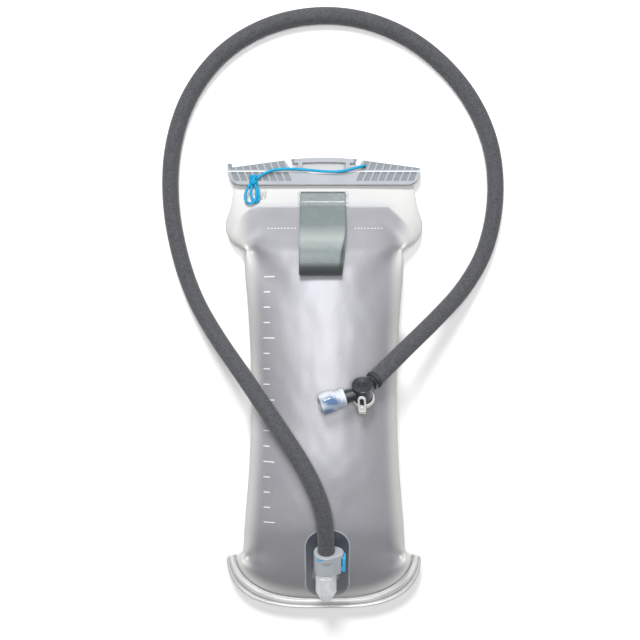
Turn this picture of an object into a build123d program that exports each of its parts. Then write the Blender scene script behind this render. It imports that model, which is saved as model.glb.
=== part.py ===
"""Insulated 2 litre hydration bladder: a soft reservoir on its back, a slide seal, a port and a drink hose.

Frame: X across the bag, Y from the bottom weld to the mouth, Z out of the front. The bag lies on Z = 0.
Lengths are in millimetres. Each finished piece is written to parts/ under its own name.
"""

import os
from math import cos, radians, sin, sqrt, tan

from build123d import *

# ---------------------------------------------------------------------------------------------------------
# Driving dimensions
# ---------------------------------------------------------------------------------------------------------

# One bag station: place along Y, half width, top of the front, bottom of the back, height of the side seam.
BAG_STATIONS = [
    (-170.0, 15.0, 18.0, 12.0, 15.0),
    (-166.0, 42.0, 22.5, 9.0, 15.0),
    (-160.0, 57.0, 27.0, 5.5, 15.0),
    (-150.0, 64.5, 32.8, 2.0, 15.0),
    (-138.0, 65.5, 39.0, 0.0, 15.0),
    (-124.0, 63.5, 46.0, 0.0, 18.0),
    (-110.0, 62.0, 53.0, 0.0, 21.0),
    (-90.0, 60.0, 59.0, 0.0, 23.0),
    (-67.0, 58.5, 63.0, 0.0, 24.0),
    (-23.0, 56.5, 64.5, 0.0, 24.0),
    (9.0, 57.0, 64.0, 0.0, 24.0),
    (40.0, 59.0, 61.5, 0.0, 23.5),
    (66.0, 60.5, 57.5, 0.0, 22.5),
    (88.0, 61.5, 51.0, 0.0, 20.0),
    (104.0, 62.0, 43.0, 0.0, 17.0),
    (112.0, 69.0, 37.5, 0.3, 14.5),
    (119.0, 76.0, 32.0, 1.0, 12.5),
    (130.0, 76.5, 23.5, 2.0, 9.5),
    (140.0, 74.5, 16.0, 3.0, 7.5),
    (150.0, 73.0, 10.0, 4.0, 6.2),
    (158.0, 72.0, 7.2, 4.5, 5.6),
    (164.2, 72.0, 7.2, 4.5, 5.5),
]
FILM = 0.6  # outer film thickness
FOAM_OUTER, FOAM_INNER = 0.9, 3.4  # insets of the insulating layer's two faces
LINER_OUTER, LINER_INNER = 3.6, 4.4  # insets of the water film's two faces
SEAM_GAP = 0.1  # each panel stops this far from the seam
LAYER_FIRST, LAYER_LAST = -160.0, 130.0  # stretch of the bag that the foam and the liner line

WELD_HALF_WIDTH = 76.5  # flange of the bottom weld
WELD_TOP, WELD_BOTTOM = -136.0, -180.0
WELD_HEIGHT, WELD_THICKNESS = 15.0, 0.8

SEAL_HALF_LENGTH, SEAL_BOTTOM, SEAL_THICKNESS = 77.3, 158.0, 12.0
SEAL_LEDGE = 169.0  # the thinner fin stands above this line
SEAL_FIN = (3.0, 10.0)  # lower and upper face of the fin
MOUTH_HEIGHT = 6.0  # middle of the channel
BEAD_BOTTOM, BEAD_TOP, BEAD_THICKNESS, BEAD_HALF_LENGTH = 161.0, 163.9, 1.4, 68.0
FRONT_BEAD_BASE, BACK_BEAD_BASE = 7.3, 3.1
CHANNEL_WALL_X, CHANNEL_CLEARANCE = -70.0, 0.4
RIB_COUNT, RIB_PITCH, RIB_WINDOW, RIB_LEAN, RIB_FIRST = 8, 5.9, 4.4, 2.9, 25.9
RIB_BOTTOM, RIB_TOP, RIB_DEPTH = 161.0, 168.0, 1.3
FIN_POCKET_BOTTOM, FIN_POCKET_TOP, FIN_POCKET_DEPTH = 170.2, 182.0, 1.2
HANDLE_HALF_LENGTH, HANDLE_TOP, HANDLE_POST_X = 26.7, 180.0, 19.0
HANDLE_FACES = (3.5, 9.5)

STRAP_WIDTH, STRAP_THICKNESS, STRAP_X = 36.4, 1.5, -0.9
STRAP_HINGE_Y = 138.4
STRAP_LIFT = 0.5  # gap between the film and the webbing
STRAP_STACK = 3.2  # two layers of webbing where they meet
PATCH_WIDTH, PATCH_TOP = 40.4, 152.8
LOOP_END_RADIUS, LOOP_END_Y, LOOP_END_LIFT = 5.6, 89.0, 7.0

TETHER_RADIUS = 1.1
TETHER_HOLE = (32.2, 173.1)

PORT_TOP = Vector(1.5, -125.5, 57.8)  # middle of the collar's top ring
PORT_TILT = 25.0  # the port's axis rises this many degrees towards +Y
SOCKET_RADIUS, NOSE_RADIUS = 5.2, 4.6
PASSAGE_ALONG, PASSAGE_RADIUS = -29.0, 3.2  # side passage from the bag into the socket
SOCKET_FLOOR = -40.0
COLLAR_RADIUS, LOBE_RADIUS, LOBE_X = 9.6, 6.2, 7.1
COLLAR_END, COLLAR_FRONT = -16.8, 8.2  # lower end along the axis, height of the flat front
BUTTON_LOW, BUTTON_HIGH = -16.0, -4.4
BUTTON_TRAVEL = 1.8
PORT_PATCH_HALF_WIDTH = 18.0

HOSE_RADIUS, HOSE_BORE = 6.5, 4.8
TUBE_RADIUS, TUBE_BORE = 4.6, 3.2
HOSE_ROUTE = [
    (1.5, -131.3, 55.1),
    (1.5, -111.4, 64.4),
    (-1.4, -89.2, 71.9),
    (-12.4, -63.8, 74.6),
    (-28.5, -39.0, 70.6),
    (-46.5, -14.0, 60.2),
    (-63.7, 9.5, 46.6),
    (-83.0, 34.5, 30.6),
    (-103.3, 66.0, 13.2),
    (-117.0, 104.0, 6.7),
    (-124.4, 147.0, 6.7),
    (-122.4, 192.0, 6.7),
    (-107.5, 235.0, 6.7),
    (-77.0, 271.5, 6.7),
    (-32.0, 293.2, 6.7),
    (19.5, 296.3, 6.7),
    (69.0, 279.0, 6.7),
    (109.5, 243.5, 6.7),
    (133.5, 200.0, 6.7),
    (139.6, 154.0, 6.7),
    (132.0, 109.0, 6.7),
    (113.5, 76.5, 13.0),
    (88.3, 51.0, 31.0),
    (60.5, 26.1, 50.5),
    (36.7, 4.1, 67.4),
]

VALVE_CENTRE = Vector(28.6, -3.4, 73.2)
VALVE_AXIS = Vector(-0.09, 0.667, 0.74).normalized()  # out of the dimpled cap
OUTLET_AXIS = Vector(-0.9457, -0.2902, 0.1466).normalized()  # towards the mouthpiece
INLET_AXIS = Vector(0.650, 0.602, -0.464).normalized()  # towards the hose
BARREL_RADIUS, SPOOL_RADIUS, SPOOL_BORE = 7.0, 5.15, 5.2

# ---------------------------------------------------------------------------------------------------------
# Helpers
# ---------------------------------------------------------------------------------------------------------


def save(solid, name):
    solid.label = name
    export_step(solid, f"parts/{name}.step")


def film_height(y, x=0.0):
    """Height of the bag's front face over a point of the plan."""
    pairs = zip(BAG_STATIONS, BAG_STATIONS[1:])
    low, high = next((a, b) for a, b in pairs if a[0] <= y <= b[0])
    share = (y - low[0]) / (high[0] - low[0])
    _, width, front, _, seam = (a + (b - a) * share for a, b in zip(low, high))
    return seam + (front - seam) * sqrt(1 - (x / width) ** 2)


def across(y):
    """The upright plane across the bag at y: sketch x is X, sketch y is Z."""
    return Plane.XZ.offset(-y)


def front_section(station, inset, drop):
    """Closed outline of the front half: an elliptic crown over the seam line, which may drop below it."""
    _, width, front, _, seam = station
    half, foot = width - inset, seam + SEAM_GAP
    with BuildSketch(across(station[0])) as section:
        with BuildLine():
            EllipticalCenterArc((0, foot), half, front - foot - inset, start_angle=0, arc_size=180)
            Polyline((-half, foot), (-half, foot - drop), (half, foot - drop), (half, foot))
        make_face()
    return section.sketch.face()


def back_section(station, inset, drop):
    """Closed outline of the back half: a flat bottom with elliptic sides up to the seam line."""
    _, width, _, back, seam = station
    half, foot = width - inset, seam - SEAM_GAP
    side = 0.42 * half
    flat = half - side
    depth = foot - back - inset
    with BuildSketch(across(station[0])) as section:
        with BuildLine():
            EllipticalCenterArc((-flat, foot), side, depth, start_angle=180, arc_size=90)
            Line((-flat, foot - depth), (flat, foot - depth))
            EllipticalCenterArc((flat, foot), side, depth, start_angle=270, arc_size=90)
            Polyline((half, foot), (half, foot + drop), (-half, foot + drop), (-half, foot))
        make_face()
    return section.sketch.face()


def half_loft(stations, section, inset, drop):
    """Solid of one half of the bag through the given stations."""
    with BuildPart() as solid:
        loft([section(station, inset, drop) for station in stations], ruled=True)
    return solid.part


def shell(stations, section, outer, inner, close_bottom=False):
    """One half of a layer: the loft at the outer inset, less the loft at the inner one."""
    first, last = stations[0], stations[-1]
    longer = [(last[0] + 1.0, *last[1:])]
    shorter = [] if close_bottom else [(first[0] - 1.0, *first[1:])]
    cavity = shorter + list(stations[1 if close_bottom else 0 :]) + longer
    with BuildPart() as layer:
        add(half_loft(stations, section, outer, SEAM_GAP))
        add(half_loft(cavity, section, inner, 2.0), mode=Mode.SUBTRACT)
    return layer.part


def weld_band(low, high):
    """Flat flange of the bottom weld between two heights, outside the filled body."""
    with BuildPart() as band:
        with BuildSketch(Plane.XY.offset(low)):
            with BuildLine():
                side = WELD_BOTTOM + 10.0
                bottom = ThreePointArc((-62, side), (0, WELD_BOTTOM), (62, side))
                Bezier(bottom @ 1, (72, side + 3.6), (WELD_HALF_WIDTH, -159), (WELD_HALF_WIDTH, -149))
                Bezier((WELD_HALF_WIDTH, -149), (WELD_HALF_WIDTH, -141), (70, -139), (63, WELD_TOP))
                Line((63, WELD_TOP), (-63, WELD_TOP))
                Bezier((-63, WELD_TOP), (-70, -139), (-WELD_HALF_WIDTH, -141), (-WELD_HALF_WIDTH, -149))
                Bezier((-WELD_HALF_WIDTH, -149), (-WELD_HALF_WIDTH, -159), (-72, side + 3.6), bottom @ 0)
            make_face()
        extrude(amount=high - low)
    return band.part


def weld_flange(low, high, section):
    """Half of the bottom weld, cut back to the middle of the film's wall."""
    first = BAG_STATIONS[0]
    near = [(first[0] + 1.0, *first[1:]), *BAG_STATIONS[1:6]]
    with BuildPart() as flange:
        add(weld_band(low, high))
        add(half_loft(near, section, FILM / 2, 5.0), mode=Mode.SUBTRACT)
    return flange.part


def port_plane(along, lift=0.0):
    """Plane across the port's axis: sketch x is X, sketch y points into the bag."""
    axis = Vector(0, cos(radians(PORT_TILT)), sin(radians(PORT_TILT)))
    outward = Vector(0, -sin(radians(PORT_TILT)), cos(radians(PORT_TILT)))
    return Plane(origin=PORT_TOP + axis * along + outward * lift, x_dir=(1, 0, 0), z_dir=axis)


def port_face(lift, along=0.0):
    """Plane parallel to the port's flange: sketch x is X, sketch y runs up the axis."""
    outward = Vector(0, -sin(radians(PORT_TILT)), cos(radians(PORT_TILT)))
    return Plane(origin=port_plane(along, lift).origin, x_dir=(1, 0, 0), z_dir=outward)


def rod(plane, radius, length, bore=0.0):
    """Round bar or tube that starts on a plane."""
    with BuildPart() as bar:
        with BuildSketch(plane):
            Circle(radius)
            if bore:
                Circle(bore, mode=Mode.SUBTRACT)
        extrude(amount=length)
    return bar.part


def turned(plane, outline):
    """Solid of revolution about a plane's normal, from (radius, height) points."""
    side = Plane(origin=plane.origin, x_dir=plane.x_dir, z_dir=-plane.y_dir)
    with BuildPart() as body:
        with BuildSketch(side):
            with BuildLine():
                Polyline(*outline, close=True)
            make_face()
        revolve(axis=Axis(plane.origin, plane.z_dir))
    return body.part


def ring(plane, middle_radius, wire_radius):
    """O-ring around a plane's normal."""
    side = Plane(origin=plane.origin, x_dir=plane.x_dir, z_dir=-plane.y_dir)
    with BuildPart() as seal:
        with BuildSketch(side):
            with Locations((middle_radius, 0)):
                Circle(wire_radius)
        revolve(axis=Axis(plane.origin, plane.z_dir))
    return seal.part


def coil_spring(origin, direction, length, turns, radius, wire):
    with BuildPart() as spring:
        with BuildLine() as path:
            Helix(length / turns, length, radius, center=origin, direction=direction)
        with BuildSketch(Plane(origin=path.line @ 0, z_dir=path.line % 0)):
            Circle(wire)
        sweep()
    return spring.part


def corner_radii(route):
    """Radius of the arc at each inner point of a route: as large as the runs beside it allow."""
    points = [Vector(*p) for p in route]
    radii = []
    for before, here, after in zip(points, points[1:], points[2:]):
        arriving, leaving = here - before, after - here
        half_turn = radians(arriving.get_angle(leaving)) / 2
        radii.append(0.45 * min(arriving.length, leaving.length) / tan(half_turn))
    return radii


def cord(name, route, radius, bore=0.0):
    """Tube of straight runs and tangent arcs along a route."""
    radii = corner_radii(route)
    with BuildPart() as tube:
        with BuildLine() as path:
            FilletPolyline(*route, radius=radii)
        with BuildSketch(Plane(origin=path.line @ 0, z_dir=path.line % 0)):
            Circle(radius)
            if bore:
                Circle(bore, mode=Mode.SUBTRACT)
        sweep()
    length = sum(edge.length for edge in path.edges())
    section = 3.14159265 * (radius**2 - bore**2)
    print(f"{name}: length {length:.0f}, volume ratio {tube.part.volume / (section * length):.4f}")
    print("  radii", [round(r) for r in radii])
    return tube.part


# ---------------------------------------------------------------------------------------------------------
# Bag
# ---------------------------------------------------------------------------------------------------------


def water_passage(bottom, top):
    """Round passage along the port flange's normal, between two heights over the port axis."""
    return rod(port_face(bottom, PASSAGE_ALONG), 5.0, top - bottom)


def make_bag():
    layers = [s for s in BAG_STATIONS if LAYER_FIRST <= s[0] <= LAYER_LAST]

    with BuildPart() as front_film:
        add(weld_flange(WELD_HEIGHT + SEAM_GAP, WELD_HEIGHT + WELD_THICKNESS, front_section))
        add(shell(BAG_STATIONS, front_section, 0, FILM, close_bottom=True))
        add(water_passage(-30.0, 0.0), mode=Mode.SUBTRACT)
    save(front_film.part, "front_film")

    with BuildPart() as back_film:
        add(weld_flange(WELD_HEIGHT - WELD_THICKNESS, WELD_HEIGHT - SEAM_GAP, back_section))
        add(shell(BAG_STATIONS, back_section, 0, FILM, close_bottom=True))
    save(back_film.part, "back_film")

    for name, outer, inner in (("foam", FOAM_OUTER, FOAM_INNER), ("liner", LINER_OUTER, LINER_INNER)):
        with BuildPart() as front_layer:
            add(shell(layers, front_section, outer, inner))
            add(water_passage(-30.0, 0.0), mode=Mode.SUBTRACT)
        save(front_layer.part, f"front_{name}")
        with BuildPart() as back_layer:
            add(shell(layers, back_section, outer, inner))
        save(back_layer.part, f"back_{name}")


def make_mouth_beads():
    for name, base in (("front", FRONT_BEAD_BASE), ("back", BACK_BEAD_BASE)):
        with BuildPart() as bead:
            with BuildSketch(Plane.XY.offset(base)):
                with Locations((0, (BEAD_BOTTOM + BEAD_TOP) / 2)):
                    Rectangle(2 * BEAD_HALF_LENGTH, BEAD_TOP - BEAD_BOTTOM)
            extrude(amount=BEAD_THICKNESS)
            long_edges = bead.edges().filter_by(Axis.X)
            chosen = long_edges.group_by(Axis.Z)[-1 if name == "front" else 0]
            fillet(chosen, 0.5)
        save(bead.part, f"mouth_bead_{name}")


# ---------------------------------------------------------------------------------------------------------
# Slide seal and tether
# ---------------------------------------------------------------------------------------------------------


def rib_pockets(bottom, top, floor, ceiling):
    """Two rows of leaning pockets that mirror each other about the middle."""
    height = top - bottom
    lean = RIB_LEAN * height / (RIB_TOP - RIB_BOTTOM)
    with BuildPart() as pockets:
        with BuildSketch(Plane.XY.offset(floor)):
            for index in range(RIB_COUNT):
                shift = RIB_LEAN * (bottom - RIB_BOTTOM) / (RIB_TOP - RIB_BOTTOM)
                x = RIB_FIRST + index * RIB_PITCH + shift
                low_corners = [(x, bottom), (x + RIB_WINDOW, bottom)]
                high_corners = [(x + RIB_WINDOW + lean, top), (x + lean, top)]
                with BuildLine():
                    Polyline(*low_corners, *high_corners, close=True)
                make_face()
            mirror(about=Plane.YZ)
        extrude(amount=ceiling - floor)
    return pockets.part


def make_slide_seal():
    fin_low, fin_high = SEAL_FIN
    handle_low, handle_high = HANDLE_FACES
    far = SEAL_HALF_LENGTH + 5
    with BuildPart() as slide_seal:
        with BuildSketch():
            with BuildLine():
                FilletPolyline(
                    (-SEAL_HALF_LENGTH, SEAL_BOTTOM),
                    (SEAL_HALF_LENGTH, SEAL_BOTTOM),
                    (SEAL_HALF_LENGTH, 171.7),
                    (31.0, 177.9),
                    (26.5, 170.6),
                    (9.0, 167.0),
                    (-9.0, 167.0),
                    (-26.5, 170.6),
                    (-31.5, 177.9),
                    (-73.8, 172.2),
                    (-74.2, 175.3),
                    (-SEAL_HALF_LENGTH, 175.3),
                    radius=[11.0, 11.0, 1.0, 0.8, 1.0, 5.0, 5.0, 1.0, 0.8, 0.6, 0.6, 0.8],
                    close=True,
                )
            make_face()
        extrude(amount=SEAL_THICKNESS)
        # the fin above the ledge is thinner than the channel
        for low, high in ((0, fin_low), (fin_high, SEAL_THICKNESS)):
            with BuildSketch(Plane.XY.offset(low)):
                with Locations((0, SEAL_LEDGE + 10)):
                    Rectangle(4 * SEAL_HALF_LENGTH, 20)
            extrude(amount=high - low, mode=Mode.SUBTRACT)
        # handle on its two posts
        with BuildSketch(Plane.XY.offset(handle_low)):
            with BuildLine():
                reach, under_reach = HANDLE_HALF_LENGTH, HANDLE_HALF_LENGTH - 1.6
                top = ThreePointArc((-reach, 178.7), (0, HANDLE_TOP), (reach, 178.7))
                under = ThreePointArc((under_reach, 175.3), (0, 176.4), (-under_reach, 175.3))
                Line(top @ 1, under @ 0)
                Line(under @ 1, top @ 0)
            make_face()
            with Locations((-HANDLE_POST_X, 172.2), (HANDLE_POST_X, 172.2)):
                Rectangle(3.6, 8.4)
        extrude(amount=handle_high - handle_low)
        # channel for the beads and slot for the neck, open at the right end
        bead_reach = MOUTH_HEIGHT - BACK_BEAD_BASE + CHANNEL_CLEARANCE
        for low, high, left, reach in (
            (SEAL_BOTTOM - 1, BEAD_BOTTOM - CHANNEL_CLEARANCE, -73.4, 1.7),
            (BEAD_BOTTOM - CHANNEL_CLEARANCE - 0.01, BEAD_TOP + 0.8, -73.4, 1.7),
            (BEAD_BOTTOM - CHANNEL_CLEARANCE, BEAD_TOP + 0.8, CHANNEL_WALL_X, bead_reach),
        ):
            with BuildSketch(Plane.XY.offset(MOUTH_HEIGHT - reach)):
                with Locations(((left + far) / 2, (low + high) / 2)):
                    Rectangle(far - left, high - low)
            extrude(amount=2 * reach, mode=Mode.SUBTRACT)
        # rib pockets on both faces, notches in the fin and the tether's hole
        for bottom, top, floor, ceiling in (
            (RIB_BOTTOM, RIB_TOP, SEAL_THICKNESS - RIB_DEPTH, SEAL_THICKNESS + 1),
            (RIB_BOTTOM, RIB_TOP, -1, RIB_DEPTH),
            (FIN_POCKET_BOTTOM, FIN_POCKET_TOP, fin_high - FIN_POCKET_DEPTH, SEAL_THICKNESS),
        ):
            add(rib_pockets(bottom, top, floor, ceiling), mode=Mode.SUBTRACT)
        with BuildSketch():
            with Locations(TETHER_HOLE):
                Circle(1.5)
        extrude(amount=SEAL_THICKNESS, mode=Mode.SUBTRACT)
    save(slide_seal.part, "slide_seal")


TETHER_ROUTE = [
    (32.2, 173.1, 12.0),
    (30.4, 172.4, 14.3),
    (24.6, 171.0, 15.0),
    (15.0, 168.2, 14.6),
    (2.0, 168.0, 13.9),
    (-16.0, 169.8, 14.0),
    (-32.0, 170.6, 14.4),
    (-45.5, 168.6, 14.6),
    (-54.2, 162.4, 14.4),
]
LOOP_CENTRE, LOOP_HALF_WIDTH, LOOP_HALF_HEIGHT, LOOP_LEAN = Vector(-58.6, 151.8, 14.4), 5.2, 8.4, 14.0
KNOT_CENTRE, KNOT_RADIUS = Vector(-56.2, 161.6, 14.9), 2.6


def make_tether():
    save(cord("tether_cord", TETHER_ROUTE, TETHER_RADIUS), "tether_cord")

    with BuildPart() as tether_stopper:
        add(rod(Plane((*TETHER_HOLE, 3.2)), TETHER_RADIUS, 7.8))
        with Locations((*TETHER_HOLE, 1.4)):
            Sphere(2.2)
    save(tether_stopper.part, "tether_stopper")

    with BuildPart() as tether_knot:
        with Locations(KNOT_CENTRE):
            Sphere(KNOT_RADIUS)
    save(tether_knot.part, "tether_knot")

    level, steep = cos(radians(LOOP_LEAN)), sin(radians(LOOP_LEAN))
    lean = Plane(origin=LOOP_CENTRE, x_dir=(level, 0, -steep), z_dir=(steep, 0, level))
    with BuildPart() as tether_loop:
        with BuildLine(lean) as loop:
            EllipticalCenterArc((0, 0), LOOP_HALF_WIDTH, LOOP_HALF_HEIGHT, start_angle=100, arc_size=358)
        with BuildSketch(Plane(origin=loop.line @ 0, z_dir=loop.line % 0)):
            Circle(TETHER_RADIUS)
        sweep()
    save(tether_loop.part, "tether_loop")


def make_tether_eyelet():
    """Clear tab on the neck with the hole that the loop passes through."""
    x, y = -52.6, 150.5
    foot = film_height(y - 3.5, x + 6.5) + 0.2
    rise = foot + 1.8
    outline = [
        (x + 6.5, foot), (x + 5.0, foot + 1.0), (x - 1.0, rise + 1.0), (x - 4.4, rise + 1.0),
        (x - 4.4, rise), (x - 1.0, rise), (x + 3.0, foot),
    ]
    with BuildPart() as tether_eyelet:
        with BuildSketch(Plane.XZ.offset(-y - 3.5)):
            with BuildLine():
                Polyline(*outline, close=True)
            make_face()
        extrude(amount=7.0)
        with BuildSketch(Plane.XY.offset(foot)):
            with Locations((x - 1.7, y - 0.5)):
                Circle(1.6)
        extrude(amount=6.0, mode=Mode.SUBTRACT)
    save(tether_eyelet.part, "tether_eyelet")


# ---------------------------------------------------------------------------------------------------------
# Hang strap
# ---------------------------------------------------------------------------------------------------------


def extrude_side(outline, width, middle):
    """Prism across X from an outline in the YZ plane."""
    with BuildPart() as prism:
        with BuildSketch(Plane.YZ.offset(middle - width / 2)):
            with BuildLine():
                Polyline(*outline, close=True)
            make_face()
        extrude(amount=width)
    return prism.part


def strap_line(heights):
    """Points (y, z) that stand the given distances above the front face."""
    return [(y, film_height(y) + above) for y, above in heights]


def make_strap_root():
    """Stitched tail of the strap and the clear patch welded over it."""
    top = STRAP_LIFT + STRAP_STACK
    tail = [(139.6, STRAP_LIFT), (151.0, STRAP_LIFT), (151.0, top), (139.6, top)]
    save(extrude_side(strap_line(tail), STRAP_WIDTH, STRAP_X), "strap_tail")

    over = top + 0.3
    pocket = strap_line([(139.0, 0.3), (151.3, 0.3), (151.3, over), (139.0, over)])
    shoulder = [(PATCH_TOP, over - 1.3), (151.0, over + 0.6), (140.2, over + 0.6)]
    outside = strap_line([(140.2, 0.4), (PATCH_TOP, 0.4), *shoulder])
    with BuildPart() as strap_patch:
        add(extrude_side(outside, PATCH_WIDTH, STRAP_X))
        add(extrude_side(pocket, STRAP_WIDTH + 0.6, STRAP_X), mode=Mode.SUBTRACT)
    save(strap_patch.part, "strap_patch")


def strap_outline(inset, low_start, high_start):
    """Side view of the webbing loop, at a distance inside its outer face."""
    radius = LOOP_END_RADIUS - inset
    centre = Vector(LOOP_END_Y, film_height(LOOP_END_Y) + LOOP_END_LIFT)
    under = centre + Vector(-0.447, -0.894) * radius
    around = centre + Vector(-0.8, 0.6) * radius
    over = centre + Vector(0.673, 0.74) * radius
    low = [(low_start, 0.5), (130.0, 0.6), (119.0, 0.7), (104.0, 0.8), (94.0, 0.8)]
    high = [(104.0, 11.5), (119.0, 8.4), (130.0, 5.4), (high_start, STRAP_LIFT + STRAP_STACK)]
    low_points = strap_line([(y, above + inset) for y, above in low])
    high_points = strap_line([(y, above - inset) for y, above in high])
    with BuildSketch(Plane.YZ.offset(STRAP_X - STRAP_WIDTH / 2)) as outline:
        with BuildLine():
            Spline(*low_points, (under.X, under.Y))
            ThreePointArc((under.X, under.Y), (around.X, around.Y), (over.X, over.Y))
            Spline((over.X, over.Y), *high_points)
            Line(high_points[-1], low_points[0])
        make_face()
    return outline.sketch.face()


def make_hang_strap():
    outside = strap_outline(0, STRAP_HINGE_Y - 1.8, STRAP_HINGE_Y - 0.2)
    inside = strap_outline(STRAP_THICKNESS, 131.5, 131.5)
    with BuildPart() as hang_strap:
        extrude(outside, amount=STRAP_WIDTH, dir=(1, 0, 0))
        extrude(inside, amount=STRAP_WIDTH, dir=(1, 0, 0), mode=Mode.SUBTRACT)
    save(hang_strap.part, "hang_strap")
    print("strap hinge", STRAP_HINGE_Y, round(film_height(STRAP_HINGE_Y) + STRAP_LIFT + STRAP_STACK, 2))


# ---------------------------------------------------------------------------------------------------------
# Port and plug
# ---------------------------------------------------------------------------------------------------------


POPPET_OUTLINE = [
    (0, -35.2), (4.3, -35.2), (4.3, -34.3), (3.9, -34.3), (3.9, -32.9),
    (4.3, -32.9), (4.3, -32.0), (3.6, -31.4), (0, -31.4),
]
SOCKET_OUTLINE = [
    (0, -45.0), (4.0, -45.0), (5.2, -43.4), (8.4, -36.0),
    (8.4, -21.0), (8.0, -20.6), (8.0, -18.0), (0, -18.0),
]
NOSE_OUTLINE = [
    (2.2, -27.4), (4.0, -27.4), (NOSE_RADIUS, -26.6), (NOSE_RADIUS, -25.3), (3.9, -25.3),
    (3.9, -23.9), (NOSE_RADIUS, -23.9), (NOSE_RADIUS, -21.3), (3.9, -21.3), (3.9, -19.9),
    (NOSE_RADIUS, -19.9), (NOSE_RADIUS, -12.0), (6.1, -12.0), (6.1, -7.2), (2.7, -7.2),
    (3.15, -4.0), (2.7, -2.0), (3.15, 1.0), (2.5, 2.5), (2.2, 2.5),
]


def make_port():
    # dark patch that follows the front face
    places = (-171.0, -166.0, -160.0, -150.0, -138.0, -124.0, -110.0)
    under = [(y, film_height(max(y, -170.0)) + 0.2) for y in places]
    above = [(y, z + 0.45) for y, z in reversed(under)]
    with BuildPart() as port_patch:
        add(extrude_side(under + above, 2 * PORT_PATCH_HALF_WIDTH, PORT_TOP.X))
        with BuildSketch():
            with Locations((PORT_TOP.X, -140.0)):
                RectangleRounded(2 * PORT_PATCH_HALF_WIDTH, 60.0, 16.0)
        extrude(amount=80.0, mode=Mode.INTERSECT)
        add(water_passage(-30.0, 0.0), mode=Mode.SUBTRACT)
    save(port_patch.part, "port_patch")

    # flange with a grille that keeps the films off the outlet
    with BuildPart() as port_flange:
        add(rod(port_face(-10.6, PASSAGE_ALONG), 10.6, 1.4))
        add(rod(port_face(-17.0, PASSAGE_ALONG), 4.7, 7.0))
        with BuildSketch(port_face(-18.0, PASSAGE_ALONG)):
            with GridLocations(0, 2.1, 1, 3):
                SlotOverall(6.2, 1.3)
        extrude(amount=12.0, mode=Mode.SUBTRACT)
    save(port_flange.part, "port_flange")

    # socket body: round barrel, tapered closed end, stem down to the flange
    with BuildPart() as port_body:
        add(turned(port_plane(0), SOCKET_OUTLINE))
        add(rod(port_face(-9.1, PASSAGE_ALONG), 6.5, 5.0))
        add(rod(port_plane(SOCKET_FLOOR), SOCKET_RADIUS, 30.0), mode=Mode.SUBTRACT)
        add(rod(port_face(-12.0, PASSAGE_ALONG), PASSAGE_RADIUS, 10.0), mode=Mode.SUBTRACT)
    save(port_body.part, "port_body")

    # valve disc with a crown that the plug's nose pushes, and a guide stem inside the spring
    with BuildPart() as port_poppet:
        add(turned(port_plane(0), POPPET_OUTLINE))
        add(rod(port_plane(-31.5), 3.6, 3.8, bore=2.6))
        add(rod(port_face(-6.0, -29.4), 1.4, 12.0), mode=Mode.SUBTRACT)
        add(rod(port_plane(-39.5), 1.0, 5.0))
    save(port_poppet.part, "port_poppet")
    save(ring(port_plane(-33.6), 4.55, 0.55), "poppet_seal")
    spring_base = port_plane(SOCKET_FLOOR + 0.3)
    save(coil_spring(spring_base.origin, spring_base.z_dir, 4.1, 4, 2.6, 0.3), "port_spring")


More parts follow.
